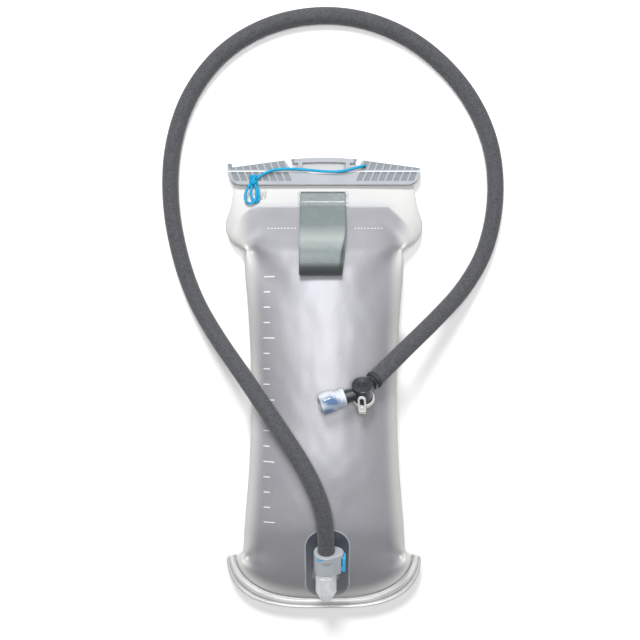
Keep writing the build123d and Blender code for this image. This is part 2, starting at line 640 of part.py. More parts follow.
def make_plug():
    with BuildPart() as plug_collar:
        with BuildSketch(port_plane(COLLAR_END)):
            Circle(COLLAR_RADIUS)
            with Locations((LOBE_X, 0)):
                Circle(LOBE_RADIUS)
            make_hull()
        extrude(amount=-COLLAR_END)
        fillet(plug_collar.faces().sort_by(Axis.Y)[-1].outer_wire().edges(), 0.9)
        # flat front below the rim
        with BuildSketch(port_plane(COLLAR_END - 0.1)):
            with Locations((3.0, -COLLAR_FRONT - 2.0)):
                Rectangle(30.0, 4.0)
        extrude(amount=-COLLAR_END - 4.2, mode=Mode.SUBTRACT)
        # bores for the hose, the plug's shoulder and the nose
        add(rod(port_plane(-7.0), HOSE_RADIUS + 0.2, 8.0), mode=Mode.SUBTRACT)
        add(rod(port_plane(COLLAR_END - 0.1), 6.3, -6.7 - COLLAR_END), mode=Mode.SUBTRACT)
        # room for the sliding latch plate and its arm
        with BuildSketch(port_plane(-15.6)):
            with Locations((-0.55, 0)):
                SlotOverall(16.7, 12.9)
            with Locations((9.0, 0)):
                Rectangle(10.0, 8.6)
        extrude(amount=3.2, mode=Mode.SUBTRACT)
        # recess for the button
        with BuildSketch(port_plane(COLLAR_END - 0.1)):
            with Locations((13.0, 0)):
                Rectangle(6.2, 9.0)
        extrude(amount=BUTTON_HIGH - COLLAR_END + 0.5, mode=Mode.SUBTRACT)
        # notch for the coloured mark under the rim
        with BuildSketch(port_face(6.9, -2.6)):
            with Locations((-4.6, 0)):
                Rectangle(3.8, 2.2)
        extrude(amount=8.0, mode=Mode.SUBTRACT)
    save(plug_collar.part, "plug_collar")

    with BuildPart() as plug_mark:
        with BuildSketch(port_face(7.0, -2.6)):
            with Locations((-4.6, 0)):
                Rectangle(3.6, 2.0)
        extrude(amount=0.9)
    save(plug_mark.part, "plug_mark")

    with BuildPart() as plug_nose:
        add(turned(port_plane(0), NOSE_OUTLINE))
    save(plug_nose.part, "plug_nose")

    with BuildPart() as plug_seals:
        for along in (-24.6, -20.6):
            add(ring(port_plane(along), 4.5, 0.6))
    save(plug_seals.part, "plug_seals")

    # button, arm and latch plate are one moulding
    with BuildPart() as release_button:
        with BuildSketch(port_plane(-15.2)):
            with Locations((0.3, 0)):
                SlotOverall(14.2, 12.0)
            with Locations((9.0, 0)):
                Rectangle(9.0, 7.4)
            with Locations((BUTTON_TRAVEL / 2, 0)):
                SlotOverall(11.6, 10.4, mode=Mode.SUBTRACT)
        extrude(amount=2.4)
        with BuildSketch(port_plane(BUTTON_LOW)):
            with Locations((13.4, 0)):
                RectangleRounded(2.6, 8.2, 1.0)
        extrude(amount=BUTTON_HIGH - BUTTON_LOW)
    save(release_button.part, "release_button")

    spring_seat = port_plane(-9.6).origin + Vector(10.2, 0, 0)
    save(coil_spring(spring_seat, (1, 0, 0), 1.6, 2.5, 1.5, 0.2), "button_spring")


# ---------------------------------------------------------------------------------------------------------
# Hose
# ---------------------------------------------------------------------------------------------------------


def make_hose():
    save(cord("hose_cover", HOSE_ROUTE, HOSE_RADIUS, HOSE_BORE), "hose_cover")
    save(cord("drink_tube", HOSE_ROUTE, TUBE_RADIUS, TUBE_BORE), "drink_tube")


# ---------------------------------------------------------------------------------------------------------
# Bite valve
# ---------------------------------------------------------------------------------------------------------


def barrel_plane(along):
    return Plane(origin=VALVE_CENTRE + VALVE_AXIS * along, x_dir=OUTLET_AXIS, z_dir=VALVE_AXIS)


def outlet_plane(along):
    return Plane(origin=VALVE_CENTRE + OUTLET_AXIS * along, x_dir=VALVE_AXIS, z_dir=OUTLET_AXIS)


def inlet_plane(along):
    return Plane(origin=VALVE_CENTRE + INLET_AXIS * along, x_dir=VALVE_AXIS, z_dir=INLET_AXIS)


def make_valve():
    with BuildPart() as valve_housing:
        add(rod(barrel_plane(-8.0), BARREL_RADIUS, 13.4))
        add(rod(inlet_plane(0), 4.6, 9.2))
        add(rod(outlet_plane(0), 4.8, 10.4))
        add(rod(barrel_plane(-9.0), SPOOL_BORE, 20.0), mode=Mode.SUBTRACT)
        add(rod(inlet_plane(0), 2.4, 12.0), mode=Mode.SUBTRACT)
        add(rod(outlet_plane(0), 3.0, 12.0), mode=Mode.SUBTRACT)
    save(valve_housing.part, "valve_housing")

    with BuildPart() as barb_adapter:
        add(
            turned(
                inlet_plane(0),
                [
                    (2.2, 9.3), (5.6, 9.3), (5.6, 12.0), (2.7, 12.0), (3.15, 15.0),
                    (2.7, 17.0), (3.15, 20.0), (2.5, 22.0), (2.2, 22.0),
                ],
            )
        )
    save(barb_adapter.part, "barb_adapter")

    with BuildPart() as valve_spool:
        add(rod(barrel_plane(-8.6), SPOOL_RADIUS, 14.2))
        for along in (-6.6, 3.2):
            add(rod(barrel_plane(along), SPOOL_RADIUS + 1, 1.4, bore=4.4), mode=Mode.SUBTRACT)
        add(rod(inlet_plane(0), 2.3, 12.0), mode=Mode.SUBTRACT)
        add(rod(outlet_plane(0), 2.3, 12.0), mode=Mode.SUBTRACT)
    save(valve_spool.part, "valve_spool")

    with BuildPart() as spool_seals:
        for along in (-5.9, 3.9):
            add(ring(barrel_plane(along), 4.8, 0.38))
    save(spool_seals.part, "spool_seals")

    with BuildPart() as valve_cap:
        add(
            turned(
                barrel_plane(0),
                [
                    (0, 5.7), (7.3, 5.7), (7.75, 6.2), (7.75, 7.9), (7.2, 8.4),
                    (6.2, 8.2), (3.0, 7.6), (2.4, 6.9), (0, 6.7),
                ],
            )
        )
    save(valve_cap.part, "valve_cap")

    with BuildPart() as shutoff_lever:
        add(rod(barrel_plane(-10.0), 8.4, 1.3))
        add(rod(barrel_plane(-8.75), 8.4, 1.8, bore=7.35))
        finger = Vector(-0.081, -0.745, 0.6625)
        top, bottom = VALVE_AXIS * 2.6 + finger * 9.8, VALVE_AXIS * -6.4 + finger * 12.0
        middle, along_tab = VALVE_CENTRE + (top + bottom) * 0.5, (top - bottom).normalized()
        tab = Plane(origin=middle, x_dir=along_tab, z_dir=along_tab.cross(VALVE_AXIS.cross(finger)))
        with BuildSketch(tab):
            SlotOverall(14.6, 6.0)
            with Locations((1.9, 0)):
                SlotOverall(8.4, 3.2, mode=Mode.SUBTRACT)
        extrude(amount=0.9, both=True)
        root_centre = VALVE_CENTRE + VALVE_AXIS * -10.0 + finger * 10.6
        root = Plane(origin=root_centre, x_dir=finger, z_dir=VALVE_AXIS)
        with BuildSketch(root):
            Rectangle(5.6, 5.0)
        extrude(amount=3.0)
        add(rod(barrel_plane(-8.6), BARREL_RADIUS + 0.35, 20.0), mode=Mode.SUBTRACT)
    save(shutoff_lever.part, "shutoff_lever")

    with BuildPart() as valve_neck:
        add(
            turned(
                outlet_plane(0),
                [
                    (2.6, 10.5), (5.2, 10.5), (5.2, 14.0), (4.3, 14.0), (4.3, 16.4),
                    (3.7, 16.4), (3.7, 17.6), (4.3, 17.6), (4.3, 21.0), (2.6, 21.0),
                ],
            )
        )
    save(valve_neck.part, "valve_neck")
    save(ring(outlet_plane(17.0), 4.12, 0.36), "neck_seal")

    with BuildPart() as mouthpiece:
        add(
            turned(
                outlet_plane(0),
                [
                    (4.5, 14.4), (6.9, 14.4), (7.2, 15.2), (7.2, 17.6), (6.6, 18.0), (6.6, 19.0),
                    (7.4, 19.4), (7.4, 20.2), (6.8, 20.6), (6.8, 21.4), (7.8, 22.0), (8.2, 26.0),
                    (8.2, 31.0), (7.4, 33.4), (5.6, 33.8), (4.6, 33.2), (0, 32.6), (0, 30.8),
                    (4.6, 30.8), (5.4, 29.0), (5.4, 22.4), (4.5, 21.6),
                ],
            )
        )
        with BuildSketch(outlet_plane(29.0)):
            Rectangle(0.6, 7.0)
        extrude(amount=6.0, mode=Mode.SUBTRACT)
    save(mouthpiece.part, "mouthpiece")


os.makedirs("parts", exist_ok=True)
make_bag()
make_mouth_beads()
make_slide_seal()
make_tether()
make_tether_eyelet()
make_strap_root()
make_hang_strap()
make_port()
make_plug()
make_hose()
make_valve()
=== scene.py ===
"""Looks of the hydration bladder: a filled film bag on its back, with its seal, strap, port and drink hose.

Everything is in metres in the CAD frame: X across the bag, Y towards the mouth, Z out of the front.
"""

import math

import bpy
import numpy as np
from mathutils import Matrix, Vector, noise


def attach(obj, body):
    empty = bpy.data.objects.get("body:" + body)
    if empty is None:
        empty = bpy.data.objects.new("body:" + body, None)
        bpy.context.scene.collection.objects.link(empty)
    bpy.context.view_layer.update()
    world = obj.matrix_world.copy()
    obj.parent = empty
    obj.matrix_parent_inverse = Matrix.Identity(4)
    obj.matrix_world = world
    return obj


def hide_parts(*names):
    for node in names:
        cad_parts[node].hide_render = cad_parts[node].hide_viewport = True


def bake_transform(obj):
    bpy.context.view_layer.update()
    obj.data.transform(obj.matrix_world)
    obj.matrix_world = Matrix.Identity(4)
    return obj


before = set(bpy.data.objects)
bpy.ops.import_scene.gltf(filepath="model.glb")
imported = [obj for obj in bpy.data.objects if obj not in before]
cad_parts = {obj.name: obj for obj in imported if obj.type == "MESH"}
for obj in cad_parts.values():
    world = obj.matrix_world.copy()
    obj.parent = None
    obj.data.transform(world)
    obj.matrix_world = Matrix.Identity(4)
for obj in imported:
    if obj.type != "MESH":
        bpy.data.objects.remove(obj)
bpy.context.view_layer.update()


# ---------------------------------------------------------------------------------------------------------
# Shader helpers
# ---------------------------------------------------------------------------------------------------------


class Shader:
    """A node material around one Principled shader, with textures in object space."""

    def __init__(self, name, colour, roughness=0.5, **sockets):
        self.material = bpy.data.materials.new(name)
        self.material.use_nodes = True
        self.tree = self.material.node_tree
        self.bsdf = self.tree.nodes["Principled BSDF"]
        self.set("Base Color", (*colour, 1.0))
        self.set("Roughness", roughness)
        for socket, value in sockets.items():
            self.set(socket.replace("_", " "), value)

    def set(self, socket, value):
        self.bsdf.inputs[socket].default_value = value

    def node(self, kind, **inputs):
        made = self.tree.nodes.new(kind)
        for socket, value in inputs.items():
            self.feed(made.inputs[socket.replace("_", " ")], value)
        return made

    def feed(self, socket, value):
        if isinstance(value, bpy.types.NodeSocket):
            self.tree.links.new(value, socket)
        else:
            socket.default_value = value

    def place(self, stretch=(1.0, 1.0, 1.0), source="Object"):
        """Object or UV coordinates, scaled along each axis."""
        mapping = self.node("ShaderNodeMapping", Scale=stretch)
        coordinates = self.node("ShaderNodeTexCoord")
        self.feed(mapping.inputs["Vector"], coordinates.outputs[source])
        return mapping.outputs["Vector"]

    def grain(self, scale, detail=3.0, stretch=(1.0, 1.0, 1.0)):
        made = self.node("ShaderNodeTexNoise", Vector=self.place(stretch), Scale=scale, Detail=detail)
        return made.outputs["Fac"]

    def cells(self, scale):
        made = self.node("ShaderNodeTexVoronoi", Vector=self.place(), Scale=scale)
        return made.outputs["Distance"]

    def stripes(self, scale, direction, source):
        made = self.node("ShaderNodeTexWave", Vector=self.place(source=source), Scale=scale)
        made.bands_direction = direction
        return made.outputs["Fac"]

    def axis(self, name):
        """One object coordinate in metres."""
        coordinates = self.node("ShaderNodeTexCoord")
        parts = self.node("ShaderNodeSeparateXYZ", Vector=coordinates.outputs["Object"])
        return parts.outputs[name]

    def ramp(self, value, stops):
        """Colour from a list of (place, colour) stops."""
        made = self.node("ShaderNodeValToRGB", Fac=value)
        elements = made.color_ramp.elements
        for _ in stops[2:]:
            elements.new(0.5)
        for element, (place, colour) in zip(elements, stops):
            element.position, element.color = place, (*colour, 1.0)
        return made.outputs["Color"]

    def attribute(self, name):
        made = self.node("ShaderNodeAttribute")
        made.attribute_name = name
        return made.outputs["Fac"]

    def span(self, value, low, high, to_low=0.0, to_high=1.0):
        """Value from one range to another, held at the ends."""
        made = self.node("ShaderNodeMapRange")
        sockets = ("Value", "From Min", "From Max", "To Min", "To Max")
        for socket, number in zip(sockets, (value, low, high, to_low, to_high)):
            self.feed(made.inputs[socket], number)
        return made.outputs["Result"]

    def math(self, operation, a, b):
        made = self.node("ShaderNodeMath")
        made.operation = operation
        self.feed(made.inputs[0], a)
        self.feed(made.inputs[1], b)
        return made.outputs[0]

    def blend(self, share, first, second):
        """Colour between two colours."""
        made = self.node("ShaderNodeMix")
        made.data_type = "RGBA"
        self.feed(made.inputs[0], share)
        for socket, colour in ((6, first), (7, second)):
            self.feed(made.inputs[socket], (*colour, 1.0) if isinstance(colour, tuple) else colour)
        return made.outputs[2]

    def colour(self, value):
        self.feed(self.bsdf.inputs["Base Color"], value)

    def rough(self, value):
        self.feed(self.bsdf.inputs["Roughness"], value)

    def bump(self, height, distance, strength=1.0, under=None):
        """Adds relief of the given height in metres, over an earlier relief if there is one."""
        made = self.node("ShaderNodeBump", Height=height, Distance=distance, Strength=strength)
        if under:
            self.feed(made.inputs["Normal"], under)
        self.feed(self.bsdf.inputs["Normal"], made.outputs["Normal"])
        return made.outputs["Normal"]


def srgb(red, green, blue):
    """Linear colour from 0 to 255 display values."""
    levels = (red, green, blue)
    return tuple(((c / 255 + 0.055) / 1.055) ** 2.4 if c > 10 else c / 255 / 12.92 for c in levels)


# ---------------------------------------------------------------------------------------------------------
# Materials
# ---------------------------------------------------------------------------------------------------------


LAMINATE_SHINE = 0.34  # metallic share of the laminate away from its rim
PAINTED_SHADE_LOW_END = (-0.105, -0.150)  # along Y: where the painted shade on the bag's lower end starts and stops deepening


def bag_material():
    """Silvery grey laminate inside the attribute "insulated", frosted clear film outside it."""
    shader = Shader("bag_film", (0.5, 0.5, 0.5), 0.4, Specular_IOR_Level=0.5)
    fine = shader.grain(1500, 4.0)
    broad = shader.grain(22, 3.0)
    grey = shader.blend(shader.span(fine, 0.3, 0.7), srgb(153, 153, 158), srgb(166, 166, 170))
    grey = shader.blend(shader.span(broad, 0.35, 0.7, 0.0, 0.35), grey, srgb(146, 147, 156))
    # painted shade: the laminate darkens towards the bag's lower end, where it slopes away from the light
    low = shader.span(shader.axis("Y"), *PAINTED_SHADE_LOW_END, 0.0, 0.7)
    grey = shader.blend(low, grey, srgb(128, 127, 129))
    clear = shader.blend(shader.span(broad, 0.3, 0.7), srgb(187, 188, 188), srgb(194, 194, 192))
    rim = shader.blend(shader.attribute("rim"), grey, srgb(206, 205, 202))
    body = shader.blend(shader.attribute("insulated"), clear, rim)
    lined = shader.blend(shader.attribute("line"), body, srgb(176, 179, 184))
    shader.colour(lined)
    shine = shader.span(shader.attribute("rim"), 0.0, 1.0, LAMINATE_SHINE, 0.0)
    laminate = shader.math("MULTIPLY", shader.attribute("insulated"), shine)
    shader.feed(shader.bsdf.inputs["Metallic"], laminate)
    shader.rough(shader.span(fine, 0.3, 0.7, 0.5, 0.58))
    relief = shader.bump(fine, 0.00012, 0.5)
    shader.bump(shader.grain(160, 2.0), 0.0005, 0.18, relief)
    return shader.material


WELD_LINES = [
    # share of the width from the bag outwards, grey level
    (0.00, 84), (0.05, 128), (0.15, 158), (0.20, 124), (0.26, 178), (0.53, 188), (0.565, 140),
    (0.60, 184), (0.655, 178), (0.69, 96), (0.725, 158), (0.92, 168), (1.00, 138),
]


def weld_material():
    """Pressed film with the marks of the welding bars along its rim."""
    shader = Shader("weld_film", srgb(212, 211, 210), 0.3, Specular_IOR_Level=0.5)
    shader.set("Coat Weight", 0.3)
    stops = [(place, srgb(grey, grey, grey)) for place, grey in WELD_LINES]
    lines = shader.ramp(shader.attribute("across"), stops)
    cloudy = shader.grain(90, 3.0)
    shader.colour(shader.blend(shader.span(cloudy, 0.35, 0.75, 0.0, 0.25), lines, srgb(226, 225, 223)))
    shader.bump(shader.grain(900, 2.0), 0.0001, 0.4)
    return shader.material


def print_material():
    """White ink on the film."""
    shader = Shader("white_print", srgb(222, 224, 227), 0.5, Specular_IOR_Level=0.3)
    worn = shader.grain(800, 3.0)
    shader.colour(shader.blend(shader.span(worn, 0.4, 0.8), srgb(224, 226, 228), srgb(206, 208, 211)))
    shader.bump(worn, 0.00005, 0.3)
    return shader.material


LOW_POCKETS, HIGH_POCKETS = (0.0102, 0.01185), (0.0080, 0.0099)  # heights of the two rows of pocket floors
HIGH_POCKETS_FROM, PLAIN_MIDDLE = 0.1698, 0.0235  # along Y, and half the length without pockets
LEDGE = (0.1681, 0.0116)  # along Y and in height, where the painted highlight on the ledge starts


def seal_material():
    """Moulded seal: the pockets between its ribs get painted shade, and its ledge gets a painted highlight
    along its edge.
    """
    shader = Shader("seal_plastic", srgb(150, 155, 161), 0.4, Specular_IOR_Level=0.5)
    x, y, z = (shader.axis(name) for name in "XYZ")

    def both(first, second):
        return shader.math("MULTIPLY", first, second)

    fine = shader.grain(2600, 2.0)
    cloudy = shader.grain(60, 4.0)
    face = shader.blend(shader.span(cloudy, 0.3, 0.7), srgb(128, 133, 139), srgb(138, 143, 149))
    low_row, high_row = (
        both(shader.math("LESS_THAN", z, top), shader.math("GREATER_THAN", z, bottom))
        for bottom, top in (LOW_POCKETS, HIGH_POCKETS)
    )
    high_row = both(high_row, shader.math("GREATER_THAN", y, HIGH_POCKETS_FROM))
    ribs = shader.math("GREATER_THAN", shader.math("ABSOLUTE", x, 0.0), PLAIN_MIDDLE)
    # painted shade: the pocket floors between the ribs are coloured darker
    body = shader.blend(both(shader.math("MAXIMUM", low_row, high_row), ribs), face, srgb(90, 100, 109))
    ledge = both(shader.math("GREATER_THAN", y, LEDGE[0]), shader.math("GREATER_THAN", z, LEDGE[1]))
    # painted highlight along the edge of the ledge
    body = shader.blend(shader.math("MULTIPLY", ledge, 0.8), body, srgb(206, 209, 213))
    shader.colour(body)
    shader.rough(shader.span(fine, 0.3, 0.7, 0.34, 0.46))
    shader.bump(fine, 0.00008, 0.6)
    return shader.material


def clear_material(name, tint, alpha, roughness=0.15):
    """Clear moulded plastic: mostly see-through, with gloss."""
    shader = Shader(name, tint, roughness, Transmission_Weight=0.75, IOR=1.42)
    shader.set("Alpha", alpha)
    cloudy = shader.grain(220, 3.0)
    paler = tuple(min(1.0, c * 1.12) for c in tint)
    shader.colour(shader.blend(shader.span(cloudy, 0.3, 0.7), tint, paler))
    shader.rough(shader.span(cloudy, 0.3, 0.7, roughness, roughness + 0.12))
    shader.bump(shader.grain(1400, 2.0), 0.00006, 0.3)
    return shader.material


def socket_material():
    """Milky clear moulding of the port."""
    shader = Shader("port_socket", srgb(224, 228, 230), 0.1, Transmission_Weight=0.25, IOR=1.45)
    shader.set("Coat Weight", 0.6)
    shader.set("Alpha", 0.86)
    cloudy = shader.grain(90, 1.0, (2.5, 1.0, 1.0))
    shader.colour(shader.blend(shader.span(cloudy, 0.35, 0.65), srgb(220, 224, 226), srgb(242, 244, 245)))
    shader.bump(cloudy, 0.0001, 0.2)
    return shader.material


def silicone_material():
    """Clear bluish silicone with pale streaks of painted highlight over its own blue tint."""
    shader = Shader("clear_silicone", srgb(176, 194, 214), 0.12, Transmission_Weight=0.3, IOR=1.42)
    shader.set("Coat Weight", 0.8)
    shader.set("Alpha", 0.9)
    cloudy = shader.grain(70, 0.0, (1.0, 1.8, 1.0))
    # painted highlight: the pale streaks stand in for the gloss on the mouthpiece; the blue is its own tint
    shader.colour(shader.blend(shader.span(cloudy, 0.38, 0.62), srgb(104, 132, 172), srgb(232, 238, 244)))
    shader.bump(cloudy, 0.0003, 0.2)
    return shader.material


def plastic_material(name, colour, roughness, wear):
    """Moulded plastic with a fine spark-eroded grain and faint cloudy variation."""
    shader = Shader(name, colour, roughness, Specular_IOR_Level=0.45)
    fine = shader.grain(2600, 2.0)
    cloudy = shader.grain(60, 4.0)
    darker = tuple(c * (1 - wear) for c in colour)
    paler = tuple(min(1.0, c * (1 + wear)) for c in colour)
    shader.colour(shader.blend(shader.span(cloudy, 0.3, 0.7), darker, paler))
    shader.rough(shader.span(fine, 0.3, 0.7, roughness - 0.05, roughness + 0.08))
    shader.bump(fine, 0.00008, 0.6)
    return shader.material


def patch_material():
    """Dark patch that pales towards the bottom of the bag."""
    shader = Shader("port_patch", srgb(74, 80, 87), 0.3, Specular_IOR_Level=0.5)
    cloudy = shader.grain(70, 3.0)
    down = shader.span(shader.axis("Y"), -0.120, -0.158)
    body = shader.blend(down, srgb(60, 66, 73), srgb(104, 108, 113))
    shader.colour(shader.blend(shader.span(cloudy, 0.3, 0.75, 0.0, 0.3), body, srgb(92, 98, 105)))
    shader.bump(shader.grain(900, 2.0), 0.00008, 0.4)
    return shader.material


def rubber_material(name, colour):
    shader = Shader(name, colour, 0.62, Specular_IOR_Level=0.35)
    dust = shader.grain(500, 4.0)
    shader.colour(shader.blend(shader.span(dust, 0.35, 0.75), colour, tuple(c * 1.6 + 0.01 for c in colour)))
    shader.bump(dust, 0.00006, 0.4)
    return shader.material


def metal_material(name):
    shader = Shader(name, srgb(186, 188, 190), 0.28, Metallic=1.0)
    drawn = shader.grain(900, 2.0, (1.0, 1.0, 6.0))
    shader.rough(shader.span(drawn, 0.3, 0.7, 0.2, 0.38))
    shader.bump(drawn, 0.00003, 0.4)
    return shader.material


def sleeve_material():
    """Fine ribbed knit of the hose sleeve, with painted shade in the recesses between its loops."""
    shader = Shader("hose_sleeve", srgb(84, 85, 88), 0.85, Specular_IOR_Level=0.2, Sheen_Weight=0.15)
    shader.set("Sheen Roughness", 0.5)
    loops = shader.cells(1150)
    fuzz = shader.grain(420, 5.0)
    # painted shade: the knit is darker where its loops are recessed
    knit_with_recess_shade = shader.blend(shader.span(loops, 0.1, 0.75), srgb(84, 85, 89), srgb(60, 61, 64))
    shader.colour(shader.blend(shader.span(fuzz, 0.35, 0.7, 0.0, 0.45), knit_with_recess_shade, srgb(92, 93, 97)))
    relief = shader.bump(loops, -0.0004, 0.6)
    shader.bump(fuzz, 0.0003, 0.35, relief)
    return shader.material


def webbing_material():
    """Twill webbing: diagonal ribs along the strap's UV, with a painted highlight on its bend and painted
    shade on its folded-under end.
    """
    shader = Shader("webbing", srgb(112, 122, 123), 0.42, Specular_IOR_Level=0.5, Sheen_Weight=0.1)
    ribs = shader.stripes(11.0, "DIAGONAL", "UV")
    yarns = shader.stripes(24.0, "Y", "UV")
    patchy = shader.grain(140, 4.0)
    base = shader.blend(shader.span(ribs, 0.15, 0.85), srgb(84, 95, 95), srgb(136, 146, 145))
    base = shader.blend(shader.span(yarns, 0.3, 0.7, 0.0, 0.3), base, srgb(84, 94, 96))
    base = shader.blend(shader.span(patchy, 0.4, 0.75, 0.0, 0.3), base, srgb(138, 148, 148))
    # painted highlight on the bend of the loop, placed along Y
    along = shader.axis("Y")
    highlight_rise = shader.span(along, 0.1020, 0.1110)
    highlight_fall = shader.span(along, 0.1240, 0.1130, 0.0, 0.55)
    bend = shader.math("MULTIPLY", highlight_rise, highlight_fall)
    base = shader.blend(bend, base, srgb(184, 190, 187))
    # painted shade on the underside where the loop folds back under
    shader.colour(shader.blend(shader.span(along, 0.0935, 0.0895, 0.0, 0.85), base, srgb(40, 44, 44)))
    relief = shader.bump(ribs, 0.0003, 0.5)
    shader.bump(yarns, 0.00012, 0.4, relief)
    return shader.material


def cord_material():
    """Braided tether cord, with painted shade in the recesses of its braid."""
    shader = Shader("tether_cord", srgb(0, 156, 200), 0.5, Specular_IOR_Level=0.35)
    braid = shader.cells(1500)
    # painted shade: the braid is darker where its strands are recessed
    shader.colour(shader.blend(shader.span(braid, 0.1, 0.7), srgb(12, 176, 218), srgb(0, 132, 178)))
    shader.bump(braid, -0.0003, 0.7)
    return shader.material


def floor_material():
    shader = Shader("floor", (0.86, 0.86, 0.86), 0.7, Specular_IOR_Level=0.1)
    shader.bump(shader.grain(40, 2.0), 0.0002, 0.05)
    return shader.material


FILM = bag_material()
WELD = weld_material()
CLEAR = clear_material("clear_plastic", srgb(226, 229, 230), 0.62)
SOCKET = socket_material()
SILICONE = silicone_material()
PRINT = print_material()
PATCH_FILM = clear_material("patch_film", srgb(226, 228, 228), 0.3, 0.25)
PORT_PATCH = patch_material()
PATCH_EDGE = plastic_material("patch_edge", srgb(150, 154, 160), 0.35, 0.08)
STITCH = plastic_material("stitching", srgb(206, 209, 208), 0.5, 0.08)
# painted shadow: dark colour for the tube that stands for the slot's shadow above the strap
SLOT_SHADOW = plastic_material("slot_shadow_dark", srgb(64, 70, 71), 0.6, 0.1)
SEAL = seal_material()
COLLAR = plastic_material("collar_plastic", srgb(160, 165, 170), 0.45, 0.06)
BUTTON = plastic_material("button_plastic", srgb(62, 164, 214), 0.35, 0.08)
BLACK = plastic_material("valve_plastic", srgb(44, 48, 52), 0.32, 0.15)
WHITE = plastic_material("lever_plastic", srgb(206, 206, 203), 0.4, 0.05)
SEALS = rubber_material("seal_rubber", srgb(40, 42, 44))
STEEL = metal_material("spring_steel")
SLEEVE = sleeve_material()
WEBBING = webbing_material()
TETHER = cord_material()

NODE_MATERIALS = {
    "slide_seal": SEAL,
    "mouth_bead_front": CLEAR,
    "mouth_bead_back": CLEAR,
    "strap_patch": PATCH_FILM,
    "tether_eyelet": CLEAR,
    "port_flange": CLEAR,
    "port_body": SOCKET,
    "plug_mark": BUTTON,
    "port_poppet": WHITE,
    "poppet_seal": SEALS,
    "port_spring": STEEL,
    "plug_collar": COLLAR,
    "plug_nose": COLLAR,
    "plug_seals": SEALS,
    "release_button": BUTTON,
    "button_spring": STEEL,
    "barb_adapter": BLACK,
    "valve_housing": BLACK,
    "valve_neck": BLACK,
    "neck_seal": SEALS,
    "valve_spool": BLACK,
    "spool_seals": SEALS,
    "valve_cap": BLACK,
    "shutoff_lever": WHITE,
    "mouthpiece": SILICONE,
    "tether_stopper": TETHER,
}


def paint_nodes():
    for name, material in NODE_MATERIALS.items():
        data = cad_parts[name].data
        data.materials.clear()
        data.materials.append(material)


# ---------------------------------------------------------------------------------------------------------
# Mesh helpers
# ---------------------------------------------------------------------------------------------------------


def link_mesh(name, points, faces, material, smooth=True):
    mesh = bpy.data.meshes.new(name)
    mesh.from_pydata([tuple(p) for p in points], [], faces)
    mesh.validate()
    for face in mesh.polygons:
        face.use_smooth = smooth
    mesh.materials.append(material)
    piece = bpy.data.objects.new(name, mesh)
    bpy.context.scene.collection.objects.link(piece)
    return piece


def grid_faces(rows, columns, closed=False, first=0):
    """Quads of a grid of points that are stored row by row."""
    faces = []
    for row in range(rows - 1):
        for column in range(columns if closed else columns - 1):
            beside = (column + 1) % columns
            here, above = first + row * columns, first + (row + 1) * columns
            faces.append((here + column, here + beside, above + beside, above + column))
    return faces


def smooth_line(points):
    """NURBS curve through open control points."""
    curve = bpy.data.curves.new("line", "CURVE")
    curve.dimensions = "3D"
    spline = curve.splines.new("NURBS")
    spline.points.add(len(points) - 1)
    for target, point in zip(spline.points, points):
        target.co = (*point, 1.0)
    spline.order_u = 3
    spline.use_endpoint_u = True
    spline.resolution_u = 16
    return curve


def line_points(points):
    """Points read along the NURBS line of a route."""
    curve = smooth_line(points)
    holder = bpy.data.objects.new("line", curve)
    bpy.context.scene.collection.objects.link(holder)
    bpy.context.view_layer.update()
    mesh = bpy.data.meshes.new_from_object(holder)
    found = [vertex.co.copy() for vertex in mesh.vertices]
    bpy.data.objects.remove(holder)
    return found


def tube_mesh(name, path, radius, material, sides=16, closed=False):
    """Tube of rings along a path; radius is a number or a function of the share of the length."""
    count = len(path)
    points, up = [], Vector((0, 0, 1))
    for index, here in enumerate(path):
        before = path[index - 1 if index or closed else 0]
        after = path[(index + 1) % count if closed else min(index + 1, count - 1)]
        along = (after - before).normalized()
        side = along.cross(up if abs(along.dot(up)) < 0.98 else Vector((1, 0, 0))).normalized()
        over = side.cross(along)
        size = radius(index / (count - 1)) if callable(radius) else radius
        for step in range(sides):
            angle = 2 * math.pi * step / sides
            points.append(here + (side * math.cos(angle) + over * math.sin(angle)) * size)
    faces = grid_faces(count, sides, closed=True)
    if closed:
        last = (count - 1) * sides
        faces += [(last + s, last + (s + 1) % sides, (s + 1) % sides, s) for s in range(sides)]
    else:
        faces += [tuple(range(sides))[::-1], tuple(range((count - 1) * sides, count * sides))]
    return link_mesh(name, points, faces, material)


# ---------------------------------------------------------------------------------------------------------
# Camera, floor and light
# ---------------------------------------------------------------------------------------------------------

CAMERA_PLACE = (-0.0032, 0.0498, 0.900)
LENS, SENSOR = 62.5, 36.0
FLOOR_HALF, FLOOR_GAP = 3.0, 0.0004
WORLD_STRENGTH = 0.13


def make_camera():
    data = bpy.data.cameras.new("camera")
    data.lens, data.sensor_width = LENS, SENSOR
    camera = bpy.data.objects.new("camera", data)
    camera.location = CAMERA_PLACE
    bpy.context.scene.collection.objects.link(camera)
    bpy.context.scene.camera = camera


def area_light(name, place, size, power):
    """Round light that faces the origin."""
    data = bpy.data.lights.new(name, "AREA")
    data.shape, data.size, data.energy = "DISK", size, power
    lamp = bpy.data.objects.new(name, data)
    lamp.location = place
    lamp.rotation_euler = (-Vector(place)).to_track_quat("-Z", "Y").to_euler()
    bpy.context.scene.collection.objects.link(lamp)


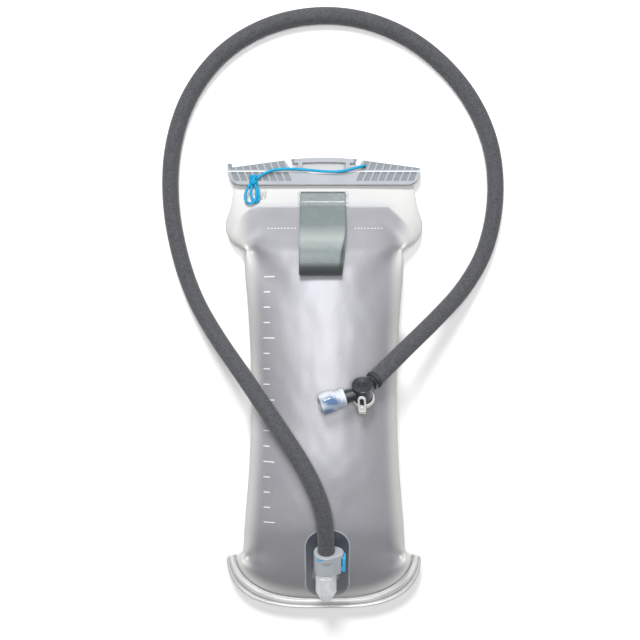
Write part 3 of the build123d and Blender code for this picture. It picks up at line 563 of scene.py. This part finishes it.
def make_studio():
    corners = [(x * FLOOR_HALF, y * FLOOR_HALF, 0) for x, y in ((-1, -1), (1, -1), (1, 1), (-1, 1))]
    floor = link_mesh("floor", corners, [(0, 1, 2, 3)], floor_material(), smooth=False)
    floor.location.z = -FLOOR_GAP
    area_light("key", (-0.15, 0.95, 1.25), 0.5, 21.0)
    area_light("front", (0.05, 0.15, 2.0), 0.7, 29.0)
    world = bpy.data.worlds.new("world")
    world.use_nodes = True
    background = world.node_tree.nodes["Background"]
    background.inputs["Color"].default_value = (1.0, 1.0, 1.0, 1.0)
    background.inputs["Strength"].default_value = WORLD_STRENGTH
    bpy.context.scene.world = world
    bpy.context.scene.view_settings.view_transform = "Standard"


# ---------------------------------------------------------------------------------------------------------
# Hose
# ---------------------------------------------------------------------------------------------------------

HOSE_RADIUS = 0.0065
HOSE_ROUTE = [
    (0.0015, -0.1313, 0.0551),
    (0.0015, -0.1114, 0.0644),
    (-0.0014, -0.0892, 0.0719),
    (-0.0124, -0.0638, 0.0746),
    (-0.0285, -0.0390, 0.0706),
    (-0.0465, -0.0140, 0.0602),
    (-0.0637, 0.0095, 0.0466),
    (-0.0830, 0.0345, 0.0306),
    (-0.1033, 0.0660, 0.0132),
    (-0.1170, 0.1040, 0.0067),
    (-0.1244, 0.1470, 0.0067),
    (-0.1224, 0.1920, 0.0067),
    (-0.1075, 0.2350, 0.0067),
    (-0.0770, 0.2715, 0.0067),
    (-0.0320, 0.2932, 0.0067),
    (0.0195, 0.2963, 0.0067),
    (0.0690, 0.2790, 0.0067),
    (0.1095, 0.2435, 0.0067),
    (0.1335, 0.2000, 0.0067),
    (0.1396, 0.1540, 0.0067),
    (0.1320, 0.1090, 0.0067),
    (0.1135, 0.0765, 0.0130),
    (0.0883, 0.0510, 0.0310),
    (0.0605, 0.0261, 0.0505),
    (0.0367, 0.0041, 0.0674),
]
HEM = [  # distance back from the sleeve's end, radius
    (-0.0003, 0.0046), (0.0, 0.0064), (0.0006, 0.0069), (0.0016, 0.0070), (0.0026, 0.0068), (0.0032, 0.0064),
]


def make_hose():
    curve = smooth_line(HOSE_ROUTE)
    curve.name = "hose_sleeve"
    curve.bevel_depth = HOSE_RADIUS
    curve.bevel_resolution = 8
    curve.use_fill_caps = True
    curve.materials.append(SLEEVE)
    hose = bpy.data.objects.new("hose_sleeve", curve)
    bpy.context.scene.collection.objects.link(hose)
    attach(hose, "hose")
    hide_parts("hose_cover", "drink_tube")

    end, before = Vector(HOSE_ROUTE[-1]), Vector(HOSE_ROUTE[-2])
    back = (before - end).normalized()
    rim = [end + back * distance for distance, _ in HEM]
    hem = tube_mesh("sleeve_hem", rim, lambda share: HEM[round(share * (len(HEM) - 1))][1], SEALS, sides=32)
    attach(hem, "hose")


# ---------------------------------------------------------------------------------------------------------
# Tether
# ---------------------------------------------------------------------------------------------------------

TETHER_RADIUS = 0.0011
LOOP_STEPS, KNOT_STEPS = 40, 60
TETHER_ROUTE = [
    (0.0322, 0.1731, 0.0120),
    (0.0304, 0.1724, 0.0143),
    (0.0246, 0.1710, 0.0150),
    (0.0150, 0.1682, 0.0146),
    (0.0020, 0.1680, 0.0139),
    (-0.0160, 0.1698, 0.0140),
    (-0.0320, 0.1706, 0.0144),
    (-0.0455, 0.1686, 0.0146),
    (-0.0542, 0.1624, 0.0144),
]
KNOT = Vector((-0.0562, 0.1616, 0.0149))


def teardrop(drop, width, lean, lift):
    """Closed drop-shaped line that hangs from the knot."""
    points = []
    for step in range(LOOP_STEPS):
        angle = 2 * math.pi * step / LOOP_STEPS
        across = width * math.sin(angle) * math.sin(angle / 2)
        down = drop * (1 - math.cos(angle)) / 2
        x = across * math.cos(lean) - down * math.sin(lean)
        y = -across * math.sin(lean) - down * math.cos(lean)
        points.append(KNOT + Vector((x, y, lift * math.sin(angle / 2) - 0.0005)))
    return points


def make_tether():
    path = line_points(TETHER_ROUTE)
    cord = tube_mesh("tether", path, TETHER_RADIUS, TETHER)
    loops = []
    for name, drop, width, lean, lift in (
        ("tether_loop_outer", 0.0192, 0.0058, 0.16, 0.0012),
        ("tether_loop_inner", 0.0178, 0.0040, -0.10, -0.0004),
    ):
        line = teardrop(drop, width, lean, lift)
        loops.append(tube_mesh(name, line, TETHER_RADIUS * 0.95, TETHER, closed=True))
    turns = [
        KNOT + Vector((0.0024 * math.sin(a), 0.0030 * math.cos(1.5 * a), 0.0016 * math.cos(a * 2 + 0.5)))
        for a in np.linspace(0, 4 * math.pi, KNOT_STEPS, endpoint=False)
    ]
    knot = tube_mesh("tether_knot_turns", turns, TETHER_RADIUS * 0.95, TETHER, closed=True)
    for piece in (*loops, knot):
        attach(piece, "bag")
    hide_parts("tether_knot")
    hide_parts("tether_loop")
    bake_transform(cord)
    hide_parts("tether_cord")


# ---------------------------------------------------------------------------------------------------------
# Bag
# ---------------------------------------------------------------------------------------------------------

# Along Y: half width at the seam, half width of the filled middle, top of the front, bottom of the back,
# height of the seam.
BAG_STATIONS = [
    (-0.1710, 0.0712, 0.0712, 0.0170, 0.0130, 0.0150),
    (-0.1660, 0.0712, 0.0712, 0.0228, 0.0085, 0.0150),
    (-0.1600, 0.0712, 0.0712, 0.0275, 0.0055, 0.0150),
    (-0.1500, 0.0712, 0.0708, 0.0334, 0.0020, 0.0150),
    (-0.1400, 0.0712, 0.0680, 0.0385, 0.0004, 0.0152),
    (-0.1345, 0.0646, 0.0660, 0.0412, 0.0002, 0.0160),
    (-0.1240, 0.0636, 0.0640, 0.0462, 0.0002, 0.0180),
    (-0.1100, 0.0626, 0.0626, 0.0530, 0.0002, 0.0210),
    (-0.0900, 0.0608, 0.0608, 0.0590, 0.0002, 0.0230),
    (-0.0670, 0.0590, 0.0590, 0.0630, 0.0002, 0.0240),
    (-0.0230, 0.0572, 0.0572, 0.0645, 0.0002, 0.0240),
    (0.0090, 0.0574, 0.0574, 0.0640, 0.0002, 0.0240),
    (0.0400, 0.0588, 0.0588, 0.0615, 0.0002, 0.0235),
    (0.0660, 0.0605, 0.0605, 0.0575, 0.0002, 0.0225),
    (0.0880, 0.0626, 0.0622, 0.0510, 0.0002, 0.0200),
    (0.0990, 0.0624, 0.0635, 0.0456, 0.0002, 0.0185),
    (0.1045, 0.0610, 0.0650, 0.0428, 0.0002, 0.0170),
    (0.1110, 0.0715, 0.0672, 0.0380, 0.0004, 0.0142),
    (0.1190, 0.0775, 0.0705, 0.0320, 0.0010, 0.0120),
    (0.1280, 0.0785, 0.0725, 0.0250, 0.0018, 0.0098),
    (0.1400, 0.0752, 0.0735, 0.0160, 0.0030, 0.0076),
    (0.1500, 0.0735, 0.0732, 0.0102, 0.0040, 0.0062),
    (0.1570, 0.0722, 0.0722, 0.0073, 0.0046, 0.0056),
    (0.1642, 0.0720, 0.0720, 0.0071, 0.0046, 0.0055),
]
COLUMNS, ROWS = 110, 250
MOUTH = 0.1642
TIP_Y, TIP_X, SMILE_DEPTH = -0.1385, 0.0712, 0.0325
WELD_TIP_Y, WELD_TIP_X, WELD_DEPTH = -0.1390, 0.0775, 0.0405
WELD_Z = 0.0150
WELD_COLUMNS, WELD_STEPS = 28, 160
WELD_FILM, WELD_RIDGE = 0.00035, 0.00055  # half thickness, and the extra on a ridge


def station(y):
    """Seam half width, filled half width, front, back and seam height at a place along Y, smoothly."""
    table = np.array(BAG_STATIONS)
    index = int(np.clip(np.searchsorted(table[:, 0], y) - 1, 0, len(table) - 2))
    low, high = table[index], table[index + 1]
    share = float(np.clip((y - low[0]) / (high[0] - low[0]), 0, 1))
    before, after = table[max(index - 1, 0)], table[min(index + 2, len(table) - 1)]
    reach = high[0] - low[0]
    slope_low = (high[1:] - before[1:]) / max(high[0] - before[0], 1e-6) * reach
    slope_high = (after[1:] - low[1:]) / max(after[0] - low[0], 1e-6) * reach
    s2, s3 = share * share, share**3
    value = (2 * s3 - 3 * s2 + 1) * low[1:] + (s3 - 2 * s2 + share) * slope_low
    return value + (3 * s2 - 2 * s3) * high[1:] + (s3 - s2) * slope_high


def smile(share):
    """Lower edge of the filled part, from the left tip to the right one."""
    side = abs(math.sin(math.pi * share / 2))
    return TIP_Y - SMILE_DEPTH * (1 - side**3) ** 0.705


def fold(x, y, apex, direction, length, depth, narrow, wide):
    """Depth of a crease that starts sharp at its apex, then widens and fades out."""
    way = Vector(direction).normalized()
    off = Vector((x - apex[0], y - apex[1]))
    along, across = off.dot(way), off.x * way.y - off.y * way.x
    if along <= -narrow or along >= length:
        return 0.0
    share = max(along, 0.0) / length
    width = narrow + (wide - narrow) * share
    rise = min(1.0, (along + narrow) / narrow)
    return depth * rise * (1 - share) ** 1.6 * math.exp(-((across / width) ** 2))


FOLDS = [
    # apex, direction, length, depth, width at the apex, width at the end
    ((-0.0565, 0.1040), (0.50, -0.80), 0.055, 0.0085, 0.0042, 0.0200),
    ((0.0590, 0.1050), (-0.50, -0.80), 0.052, 0.0080, 0.0042, 0.0190),
    ((-0.0600, 0.1075), (0.85, 0.45), 0.030, 0.0030, 0.0030, 0.0110),
    ((0.0620, 0.1085), (-0.70, 0.75), 0.034, 0.0034, 0.0030, 0.0110),
    ((-0.0600, -0.1375), (0.75, 0.55), 0.034, 0.0050, 0.0030, 0.0130),
    ((0.0600, -0.1365), (-0.75, 0.55), 0.034, 0.0050, 0.0030, 0.0130),
    ((-0.0625, -0.1390), (0.90, -0.30), 0.020, 0.0032, 0.0022, 0.0070),
    ((0.0620, -0.1380), (-0.90, -0.30), 0.020, 0.0032, 0.0022, 0.0070),
]


def bag_point(u, y, front):
    """Point of the bag's skin: u runs from the left seam at -1 to the right seam at 1."""
    half, core, top, bottom, seam = station(y)
    x = math.sin(math.pi * u / 2) * (core + (half - core) * abs(u) ** 6)
    crown = max(0.0, math.cos(math.pi * u / 2))
    if not front:
        return Vector((x, y, seam - (seam - bottom) * math.sin(math.pi / 2 * min(1.0, crown / 0.62))))
    z = seam + (top - seam) * crown**0.96
    z -= min(sum(fold(x, y, *crease) for crease in FOLDS), (z - seam) * 0.75)
    wobble = noise.noise(Vector((x * 38, y * 26, 3.1))) * 0.0009
    wobble += noise.noise(Vector((x * 110, y * 70, 9.7))) * 0.00035
    z += wobble * min(1.0, crown * 2.5) * min(1.0, max(0.0, 0.152 - y) / 0.02)
    return Vector((x, y, z))


def make_bag():
    shares = [-1 + 2 * i / COLUMNS for i in range(COLUMNS + 1)]
    points, insulated, rim, line = [], [], [], []
    around = [(u, True) for u in shares] + [(u, False) for u in shares[-2:0:-1]]
    for row in range(ROWS + 1):
        level = row / ROWS
        for u, front in around:
            low = smile(u)
            y = low + (MOUTH - low) * level
            point = bag_point(u, y, front)
            if row == 0:
                point.z = WELD_Z
            points.append(point)
            insulated.append(insulation_share(point.x, y))
            rim.append(rim_share(u, y))
            line.append(line_share(point.x, y))
    faces = grid_faces(ROWS + 1, len(around), closed=True)
    bag = link_mesh("bag_skin", points, faces, FILM)
    for name, values in (("insulated", insulated), ("rim", rim), ("line", line)):
        bag.data.attributes.new(name, "FLOAT", "POINT").data.foreach_set("value", values)
    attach(bag, "bag")
    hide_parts("front_film", "back_film", "front_foam", "back_foam", "front_liner", "back_liner")


def ease(value, low, high):
    share = min(1.0, max(0.0, (value - low) / (high - low)))
    return share * share * (3 - 2 * share)


INSULATION_TOP = 0.1400
LEFT_SHOULDER, RIGHT_SHOULDER = -0.0535, 0.0515  # where the laminate's top edge starts to slope
SHOULDER_REACH = 0.0195  # width and drop of the left shoulder's curve
NECK_WELD = 0.0038


def insulation_share(x, y):
    """1 on the grey laminate, 0 on the clear neck and the clear margins."""
    left = max(0.0, LEFT_SHOULDER - x) / SHOULDER_REACH
    right = max(0.0, x - RIGHT_SHOULDER)
    edge = INSULATION_TOP - SHOULDER_REACH * left**1.9 - right
    return 1.0 - ease(y, edge - 0.0008, edge + 0.0008)


def rim_share(u, y):
    """Pale strip where the laminate nears the side seam or the bottom weld."""
    side = ease(math.sin(math.pi * abs(u) / 2), 0.78, 0.995) * 0.9
    below = (1 - ease(y - smile(u), 0.001, 0.013)) * 0.75
    return max(side, below)


def line_share(x, y):
    """Band of the weld that joins the laminate to the clear neck."""
    low = INSULATION_TOP - 0.4 * max(0.0, abs(x) - RIGHT_SHOULDER)
    high = low + NECK_WELD
    inside = ease(y, low - 0.0004, low + 0.0004) * (1 - ease(y, high - 0.0006, high + 0.0002))
    return 0.45 * inside * (1 - ease(abs(x), 0.054, 0.062))


def weld_relief(share):
    """Height of the bottom weld's ridges across its width, from the bag to the rim."""
    ridges = ((0.14, 0.07, 0.9), (0.52, 0.17, 1.0), (0.93, 0.06, 0.8))
    return sum(high * math.exp(-(((share - middle) / width) ** 4)) for middle, width, high in ridges)


def make_weld():
    """Flat bottom weld: two films pressed together, with ridges that follow its rim."""
    across = [i / WELD_COLUMNS for i in range(WELD_COLUMNS + 1)]
    count = WELD_STEPS
    points, shares = [], []
    for side in (1, -1):
        for step in range(count + 1):
            u = -1 + 2 * step / count
            reach = math.sin(math.pi * u / 2)
            inner = Vector((TIP_X * reach * 0.985, smile(u) + 0.0016))
            drop = WELD_DEPTH * (1 - abs(reach) ** 3.2) ** 0.4545
            outer = Vector((WELD_TIP_X * reach, WELD_TIP_Y - drop))
            for share in across:
                place = inner.lerp(outer, share)
                thick = WELD_FILM + WELD_RIDGE * weld_relief(share)
                edge = 1.0 - ease(share, 0.96, 1.0) * 0.9
                sag = 0.0007 * noise.noise(Vector((place.x * 40, place.y * 40, 5.0)))
                points.append((place.x, place.y, WELD_Z + sag + side * thick * edge))
                shares.append(share)
    per_side = (count + 1) * len(across)
    faces = [f[::-1] for f in grid_faces(count + 1, len(across))]
    faces += grid_faces(count + 1, len(across), first=per_side)
    last = len(across) - 1
    for step in range(count):
        a, b = step * len(across), (step + 1) * len(across)
        faces.append((a + last, b + last, per_side + b + last, per_side + a + last))
        faces.append((b, a, per_side + a, per_side + b))
    for a, flip in ((0, False), (count * len(across), True)):
        for column in range(last):
            quad = (a + column, a + column + 1, per_side + a + column + 1, per_side + a + column)
            faces.append(quad[::-1] if flip else quad)
    weld = link_mesh("bottom_weld", points, faces, WELD)
    weld.data.attributes.new("across", "FLOAT", "POINT").data.foreach_set("value", shares)
    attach(weld, "bag")


# ---------------------------------------------------------------------------------------------------------
# Strap
# ---------------------------------------------------------------------------------------------------------

STRAP_WIDTH, STRAP_THICKNESS, STRAP_X = 0.0364, 0.0013, -0.0009
STRAP_COLUMNS = 26
STRAP_BACK = [  # along Y, height over the film
    (0.1508, 0.0012), (0.1450, 0.0012), (0.1390, 0.0013), (0.1300, 0.0014), (0.1190, 0.0015),
    (0.1080, 0.0016), (0.1000, 0.0018),
]
STRAP_FRONT = [
    (0.1060, 0.0178), (0.1120, 0.0145), (0.1200, 0.0100), (0.1300, 0.0058), (0.1390, 0.0032),
    (0.1450, 0.0027), (0.1508, 0.0027),
]
STRAP_END_Y, STRAP_END_LIFT = 0.0955, 0.0095
STRAP_END_ANGLES = (262, 238, 212, 186, 160, 134, 110, 88, 70)


def film_top(y):
    return station(y)[2]


def strap_side_line():
    """Side view of the webbing's middle: down the back layer, round the end and up the front."""
    back = [(y, film_top(y) + lift) for y, lift in STRAP_BACK]
    front = [(y, film_top(y) + lift) for y, lift in STRAP_FRONT]
    end_z = film_top(STRAP_END_Y) + STRAP_END_LIFT
    around = [
        (STRAP_END_Y + 0.0115 * math.cos(a), end_z + 0.0068 * math.sin(a))
        for a in np.radians(STRAP_END_ANGLES)
    ]
    route = [(0.0, y, z) for y, z in back + around + front]
    return line_points(route)


def make_strap():
    path = strap_side_line()
    count = len(path)
    lengths = [0.0]
    for a, b in zip(path, path[1:]):
        lengths.append(lengths[-1] + (b - a).length)
    total = lengths[-1]
    points, uvs = [], []
    widths = [-0.5 + i / STRAP_COLUMNS for i in range(STRAP_COLUMNS + 1)]
    section = [(x, 0.5) for x in widths] + [(x, -0.5) for x in reversed(widths)]
    for index, here in enumerate(path):
        before, after = path[max(index - 1, 0)], path[min(index + 1, count - 1)]
        along = (after - before).normalized()
        normal = Vector((1, 0, 0)).cross(along).normalized()
        share = lengths[index] / total
        front = ease(share, 0.52, 0.62)
        low_end = math.exp(-(((share - 0.52) / 0.16) ** 2))
        for x, side in section:
            rounding = 1.0 - 0.75 * max(0.0, abs(x) * 2 - 0.94) / 0.06
            right_pull = -0.0050 * low_end * max(0.0, x + 0.5) * (1 if front > 0 else 0.8)
            place = here + normal * side * STRAP_THICKNESS * rounding
            points.append((STRAP_X + x * STRAP_WIDTH + right_pull, place.y, place.z))
            uvs.append((x + 0.5, lengths[index] / STRAP_WIDTH))
    faces = grid_faces(count, len(section), closed=True)
    size = len(section)
    faces += [tuple(range(size))[::-1], tuple(range((count - 1) * size, count * size))]
    strap = link_mesh("strap_webbing", points, faces, WEBBING)
    layer = strap.data.uv_layers.new(name="UVMap")
    for loop in strap.data.loops:
        layer.data[loop.index].uv = uvs[loop.vertex_index]
    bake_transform(strap)
    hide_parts("hang_strap", "strap_tail")


# ---------------------------------------------------------------------------------------------------------
# Port patch
# ---------------------------------------------------------------------------------------------------------

PORT_X, PORT_PATCH_TOP, PORT_PATCH_BOTTOM, PORT_PATCH_HALF = 0.0025, -0.1100, -0.1685, 0.0178


def front_height(x, y):
    """Height of the finished front over a place in plan."""
    share = max(-1.0, min(1.0, x / station(y)[1]))
    return bag_point(2 / math.pi * math.asin(share), y, True).z


def patch_outline(inset):
    """Points round a rounded tag, narrower at its lower corners."""
    half, top, bottom = PORT_PATCH_HALF - inset, PORT_PATCH_TOP - inset, PORT_PATCH_BOTTOM + inset
    round_top, cut = 0.0150 - inset, 0.0120 - inset
    line = []
    for a in np.linspace(0, math.pi, 40):
        corner = PORT_X + (half - round_top) * (1 if a < math.pi / 2 else -1)
        line.append((corner + round_top * math.cos(a), top - round_top + round_top * math.sin(a)))
    for a in np.linspace(math.pi, 2 * math.pi, 40):
        corner = PORT_X + (half - cut) * (-1 if a < 1.5 * math.pi else 1)
        line.append((corner + cut * math.cos(a), bottom + cut + cut * math.sin(a)))
    return line


def draped_patch(name, outline, lift, material, rings=14):
    """Disc of film that follows the bag's front."""
    centre = Vector((PORT_X, (PORT_PATCH_TOP + PORT_PATCH_BOTTOM) / 2))
    points = [(centre.x, centre.y, front_height(*centre) + lift)]
    for ring in range(1, rings + 1):
        share = ring / rings
        for x, y in outline:
            place = centre.lerp(Vector((x, y)), share)
            edge = 1.0 if ring < rings else 0.15
            points.append((place.x, place.y, front_height(place.x, place.y) + lift * edge))
    size = len(outline)
    faces = [(0, 1 + i, 1 + (i + 1) % size) for i in range(size)]
    faces += grid_faces(rings, size, closed=True, first=1)
    return link_mesh(name, points, faces, material)


def make_port_patch():
    edge = draped_patch("port_patch_border", patch_outline(0.0), 0.0006, PATCH_EDGE)
    face = draped_patch("port_patch_face", patch_outline(0.0005), 0.0009, PORT_PATCH)
    for piece in (edge, face):
        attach(piece, "bag")
    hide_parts("port_patch")


# ---------------------------------------------------------------------------------------------------------
# Printed marks and stitching
# ---------------------------------------------------------------------------------------------------------

SCALE_X, SCALE_FIRST, SCALE_PITCH, SCALE_COUNT = -0.0465, -0.1060, 0.0118, 17
SCALE_LONG, SCALE_SHORT, SCALE_THICK = 0.0085, 0.0050, 0.0009
FILL_LINE_Y, FILL_LINE_X, DASHES = 0.1215, 0.034, 9
DASH_PITCH, DASH_LENGTH, DASH_THICK = 0.0026, 0.0015, 0.0006


def draped_bar(points, faces, low, high, lift=0.0004, steps=6):
    """Adds a thin bar of ink that follows the bag's front between two corners."""
    first = len(points)
    for y in (low[1], high[1]):
        for step in range(steps + 1):
            x = low[0] + (high[0] - low[0]) * step / steps
            points.append((x, y, front_height(x, y) + lift))
    faces += grid_faces(2, steps + 1, first=first)


def make_marks():
    """Generic volume scale beside the seam and a dashed fill line below the shoulders."""
    points, faces = [], []
    for index in range(SCALE_COUNT):
        y = SCALE_FIRST + index * SCALE_PITCH
        reach = SCALE_LONG if index % 4 == 0 else SCALE_SHORT
        draped_bar(points, faces, (SCALE_X, y), (SCALE_X + reach, y + SCALE_THICK))
    for side in (-1, 1):
        for index in range(DASHES):
            x = side * FILL_LINE_X + (index - DASHES // 2) * DASH_PITCH
            draped_bar(points, faces, (x, FILL_LINE_Y), (x + DASH_LENGTH, FILL_LINE_Y + DASH_THICK))
    marks = link_mesh("printed_scale", points, faces, PRINT)
    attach(marks, "bag")


STRAP_TRIM = [  # name, along Y, height over the film, radius, material
    ("strap_stitch", 0.1436, 0.0040, 0.0005, STITCH),
    # painted shadow: a dark tube where the strap goes into its slot
    ("strap_slot_shadow", 0.1517, 0.0024, 0.0006, SLOT_SHADOW),
]


def make_strap_trim():
    """Stitch line across the strap under its patch, and above it a dark tube of painted shadow where the
    strap goes into its slot.
    """
    for name, y, lift, radius, material in STRAP_TRIM:
        z = film_top(y) + lift
        reach = STRAP_WIDTH / 2 - 0.0006
        path = [Vector((STRAP_X + reach * (2 * i / 12 - 1), y, z)) for i in range(13)]
        trim = tube_mesh(name, path, radius, material, sides=8)
        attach(trim, "bag")


# ---------------------------------------------------------------------------------------------------------
# Build
# ---------------------------------------------------------------------------------------------------------

make_camera()
make_studio()
paint_nodes()
make_hose()
make_tether()
make_bag()
make_weld()
make_strap()
make_port_patch()
make_marks()
make_strap_trim()
